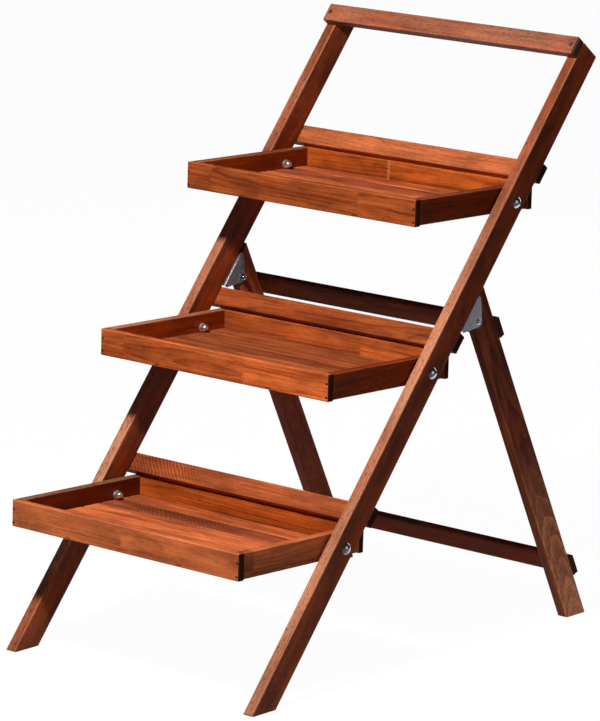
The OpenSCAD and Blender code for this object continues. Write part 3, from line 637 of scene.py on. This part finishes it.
# %% Tray boards
FLOOR_SLATS = 6
SLAT_START = -FLOOR_SLATS / 2 * SLAT_PITCH    # measured from the middle of the floor
TRAYS = {
    "low": {"seed": 40.0, "brown": 4.0,
            "front": dict(depth=1.04, joints=(-0.003,), tones=(0.48, 0.53, 0.5), contrast=0.42),
            "back": dict(depth=0.91, joints=(-0.154,), tones=(0.48, 0.53, 0.5)),
            "left": dict(depth=0.42, painted_light=0.9),
            "right": dict(stain="chestnut", depth=0.9, joints=(-0.115,), tones=(0.15, 0.52, 0.5), edge_wear_and_glint=0.1),
            "floor": dict(depth=1.32, figure=(-0.07, 0.16, 1.0, 0.0095, 0.7))},
    "mid": {"seed": 50.0, "brown": 1.0,
            "front": dict(stain="russet", depth=0.98, joints=(-0.199, 0.072), tones=(0.35, 0.45, 0.72)),
            "back": dict(stain="russet", depth=0.84, joints=(0.073,), tones=(0.46, 0.62, 0.5)),
            "left": dict(depth=0.95, painted_light=0.8), "right": dict(depth=0.76, edge_wear_and_glint=0.3),
            "floor": dict(depth=0.72)},
    "top": {"seed": 60.0, "brown": 4.0,
            "front": dict(stain="russet", depth=0.60, joints=(-0.199, 0.133), tones=(0.55, 0.46, 0.66)),
            "back": dict(depth=0.84, joints=(-0.05,), tones=(0.46, 0.55, 0.5), pale_glue=True),
            "left": dict(depth=0.76, painted_light=0.5), "right": dict(depth=0.62, painted_light=0.15),
            "floor": dict(depth=1.28)},
}
for level, facts in TRAYS.items():
    first = facts["seed"]
    wood(f"tray_{level}_front", ACROSS_STAND, -TRAY_BACK, seed=first + 1, nailed=True, **facts["front"])
    wood(f"tray_{level}_back", ACROSS_STAND, -TRAY_BACK, seed=first + 2, nailed=True,
         **{"stain": "amber", **facts["back"]})
    # Painted sheen on the side boards' top edges, which look up to the lamp.
    for side, number in (("left", 3), ("right", 4)):
        wood(f"tray_{level}_side_{side}", TRAY_BACK, ACROSS_STAND, seed=first + number, lit_side=TRAY_UP,
             contrast=0.45, **{"stain": "oxblood", **facts[side]})
    wood(f"tray_{level}_floor", ACROSS_STAND, TRAY_UP, seed=first + 5,
         floor_of=(SLAT_START, facts["brown"]), **facts["floor"])
    wood(f"tray_{level}_battens", TRAY_BACK, TRAY_UP, seed=first + 6)
print("boards of", len(TRAYS), "trays done")

# %% [markdown]
# ## Rear leg frame
# The rear legs and their cross slats have darker, chocolate-brown stains; the left leg's also stands
# in part for the shade on its upper part. Near the foot the legs are painted paler, painted light from
# the floor. The right leg's outer side has painted light that grows strong towards the foot, where
# rings that close into arches show up pale.

# %% Leg frame boards
LEG_END = (0.060, 0.020, 0.012)
# Painted shade and light on the left leg: its darker stain stands in part for shade, and its foot is painted
# paler for light from the floor.
wood("leg_left", UP_LEG, ACROSS_STAND, stain="umber", depth=1.05, seed=71.0, arches=0.9, foot=0.3,
     end_start=0.84)
# Painted light on the right leg's outer side, growing strong towards the foot; its foot is painted paler as
# well.
wood("leg_right", UP_LEG, ACROSS_STAND, stain="cocoa", depth=0.70, seed=72.0, arches=1.0, ring=0.005,
     contrast=1.0, foot=0.1, painted_light=0.09, slope=10.0, lit_side=ACROSS_STAND, raised=1.6,
     shine=0.08, edge_wear_and_glint=0.4, end_start=0.84)
wood("cross_slat_low", ACROSS_STAND, OUT_OF_LEG, stain="umber", depth=0.98, seed=73.0, shine=0.08,
     end=LEG_END)
wood("cross_slat_high", ACROSS_STAND, OUT_OF_LEG, stain="cocoa", depth=0.5, seed=74.0, shine=0.08,
     edge_wear_and_glint=0.3, joints=(-0.012,), end=LEG_END)
print("leg frame boards done")

# %% [markdown]
# ## Plated steel
# Bolts and spacers are bright zinc, close to chrome. The cap nuts and washers inside the trays are a
# little rougher. The nuts at the hinges are a dark copy of the zinc: painted shade for the shade they
# sit in. The brackets are zinc sheet with a faint cloudy pattern; the left one is a darker copy, painted
# shade for the trays' shade on it. Screws, brads and staples are sunk in the wood and have darkened with
# the oil. One group gives the cloudiness and the fine scratches, and each metal sets its own amounts.

# %% Node group: plating
SCRATCHES = (900, 900, 60)    # cycles per metre

plating, given, out = new_group(
    "Plating",
    [("Scale", "Float", 300.0), ("Bright", "Color", (0.8, 0.8, 0.82, 1)),
     ("Dull", "Color", (0.6, 0.6, 0.62, 1)), ("Smooth", "Float", 0.15), ("Rough", "Float", 0.3)],
    [("Color", "Color"), ("Roughness", "Float"), ("Height", "Float")])
place = put(plating, "ShaderNodeTexCoord").outputs["Object"]
cloud = put(plating, "ShaderNodeTexNoise", {"Vector": place, "Scale": given["Scale"], "Detail": 3.0,
                                            "Roughness": 0.6}).outputs["Fac"]
scratch = noise(plating, place, SCRATCHES, 2.0)
cloudy = ramp(plating, cloud, 0.35, 0.65)
plating.links.new(blend(plating, cloudy, given["Bright"], given["Dull"]), out["Color"])
spread = calc(plating, "SUBTRACT", given["Rough"], given["Smooth"])
uneven = calc(plating, "MULTIPLY_ADD", cloudy, 0.6, calc(plating, "MULTIPLY", scratch, 0.4))
plating.links.new(calc(plating, "MULTIPLY_ADD", spread, uneven, given["Smooth"]), out["Roughness"])
plating.links.new(scratch, out["Height"])
print("group", plating.name, "has", len(plating.nodes), "nodes")

# %% Recipe and materials: metals
def metal(name, targets, scale, bright, dull, smooth, rough, metallic=1.0):
    """Makes one plated metal and puts it on the nodes that are made of it."""
    material = bpy.data.materials.new(name)
    material.use_nodes = True
    tree = material.node_tree
    shader = tree.nodes["Principled BSDF"]
    coatings = join(tree, "Plating", {"Scale": scale, "Bright": bright, "Dull": dull,
                                      "Smooth": smooth, "Rough": rough})
    tree.links.new(coatings.outputs["Color"], shader.inputs["Base Color"])
    tree.links.new(coatings.outputs["Roughness"], shader.inputs["Roughness"])
    relief(tree, shader, coatings.outputs["Height"], 0.05, 0.0001)
    shader.inputs["Metallic"].default_value = metallic
    for target in targets:
        dress(target, material)


metal("bright_zinc", ["carriage_bolts", "tray_spacers", "hinge_bolts"],
      500.0, (0.80, 0.81, 0.84, 1), (0.62, 0.64, 0.68, 1), 0.05, 0.16)
metal("lit_zinc", ["nut_washers", "cap_nuts"],
      500.0, (0.88, 0.89, 0.92, 1), (0.74, 0.76, 0.80, 1), 0.18, 0.27, metallic=0.93)
# Painted shade: a dark copy of the zinc for the hinge nuts, which sit in shade.
metal("shaded_nut_zinc", ["hinge_nuts"], 500.0, (0.34, 0.35, 0.38, 1), (0.24, 0.25, 0.28, 1), 0.12, 0.24)
# Painted shade: the left bracket is a darker copy of the bracket zinc, for the trays' shade on it.
metal("shaded_zinc", ["bracket_left"],
      120.0, (0.40, 0.39, 0.42, 1), (0.20, 0.19, 0.21, 1), 0.20, 0.34, metallic=0.6)
metal("bracket_zinc", ["bracket_right", "bracket_screws"],
      120.0, (0.80, 0.84, 0.92, 1), (0.58, 0.62, 0.70, 1), 0.20, 0.34, metallic=0.35)
metal("dark_steel", ["rail_screws", "back_slat_screws", "cross_slat_screws"]
      + [f"tray_{level}_{kind}" for level in TRAYS for kind in ("brads", "staples")],
      800.0, (0.13, 0.05, 0.03, 1), (0.06, 0.022, 0.015, 1), 0.5, 0.65, metallic=0.3)
print("metals done")

# %% [markdown]
# ## Floor and light
# The floor is plain and pale. The camera sees it almost white, with a faint shadow. The light that it
# throws back on the wood is weaker than that, so the undersides stay dark as in the photograph. What
# shines sees a pool of light on the floor behind the stand, which dies away outwards. The stand is
# lit by one lamp in front of it, a little to the right and well above, which is small enough to draw
# the trays' shadows on the left stile. Three broad weak lamps stand in for the walls of a studio.

# %% Floor
FLOOR_HALF = 30                        # from the middle to the rim, in metres
SEEN_GLOW, SEEN_GREY = 0.975, 0.045    # what the camera sees: its own white, and what the lamps add
BOUNCE_GLOW, BOUNCE_GREY = 0.04, 0.42  # what lights the wood from below
POOL_MIDDLE = (-0.2, 1.1, 0.0)
POOL_INNER, POOL_OUTER = 0.7, 1.6      # the pool dies away between these distances, in metres
POOL_BRIGHT, POOL_DIM = 0.95, 0.09


def glowing(tree, strength):
    """A white glow."""
    return put(tree, "ShaderNodeEmission", {"Color": (1, 1, 1, 1), "Strength": strength}).outputs[0]


def dull_grey(tree, level):
    """A matt grey."""
    return put(tree, "ShaderNodeBsdfDiffuse", {"Color": (level, level, level, 1)}).outputs[0]


floor_mesh = bpy.data.meshes.new("floor")
floor_mesh.from_pydata([(x * FLOOR_HALF, y * FLOOR_HALF, 0) for x, y in ((-1, -1), (1, -1), (1, 1), (-1, 1))],
                       [], [(0, 1, 2, 3)])
floor = bpy.data.objects.new("floor", floor_mesh)
bpy.context.scene.collection.objects.link(floor)
pale = bpy.data.materials.new("pale_floor")
pale.use_nodes = True
tree = pale.node_tree
tree.nodes.clear()
rays = put(tree, "ShaderNodeLightPath").outputs
shown = put(tree, "ShaderNodeAddShader", {0: glowing(tree, SEEN_GLOW), 1: dull_grey(tree, SEEN_GREY)})
bounced = put(tree, "ShaderNodeAddShader", {0: dull_grey(tree, BOUNCE_GREY), 1: glowing(tree, BOUNCE_GLOW)})
floor_place = put(tree, "ShaderNodeTexCoord").outputs["Object"]
from_pool = vector_calc(tree, "LENGTH", vector_calc(tree, "SUBTRACT", floor_place, POOL_MIDDLE))
pool = glowing(tree, ramp(tree, from_pool, POOL_INNER, POOL_OUTER, POOL_BRIGHT, POOL_DIM))
unseen = put(tree, "ShaderNodeMixShader", {0: rays["Is Glossy Ray"], 1: bounced.outputs[0], 2: pool})
both = put(tree, "ShaderNodeMixShader", {0: rays["Is Camera Ray"], 1: unseen.outputs[0], 2: shown.outputs[0]})
put(tree, "ShaderNodeOutputMaterial", {0: both.outputs[0]})
floor_mesh.materials.append(pale)
print("floor is", [round(v) for v in floor.dimensions], "m")

# %% Lights
STAND_MIDDLE = (0, 0, 0.5)
WALL_TARGET = (0, 0.1, 0.5)
WALL_SIZE = 2.4           # metres across
WORLD_SEEN = 0.98         # the background behind the stand is white for the camera
WORLD_FILL = 0.02         # and gives everything else very little light


def lamp(name, place, target, power, size, colour):
    """A round lamp that looks at a point."""
    light = bpy.data.lights.new(name, "AREA")
    light.shape = "DISK"
    light.size = size
    light.energy = power
    light.color = colour
    made = bpy.data.objects.new(name, light)
    bpy.context.scene.collection.objects.link(made)
    made.location = place
    made.rotation_euler = (Vector(target) - Vector(place)).to_track_quat("-Z", "Y").to_euler()


lamp("key", (0.38, -1.45, 2.27), STAND_MIDDLE, 72.0, 0.25, (1.0, 0.97, 0.93))
for name, place, power in (("right wall", (3.4, 0.4, 0.9), 7.0), ("left wall", (-3.4, 0.4, 0.9), 9.0),
                           ("back wall", (-0.4, 3.4, 1.3), 24.0)):
    lamp(name, place, WALL_TARGET, power, WALL_SIZE, (0.97, 0.98, 1.0))
world = bpy.data.worlds.new("studio")
bpy.context.scene.world = world
world.use_nodes = True
tree = world.node_tree
background = tree.nodes["Background"]
seen = put(tree, "ShaderNodeLightPath").outputs["Is Camera Ray"]
tree.links.new(calc(tree, "MULTIPLY_ADD", seen, WORLD_SEEN, WORLD_FILL), background.inputs["Strength"])
background.inputs["Color"].default_value = (0.95, 0.97, 1.0, 1)
print("lights done")
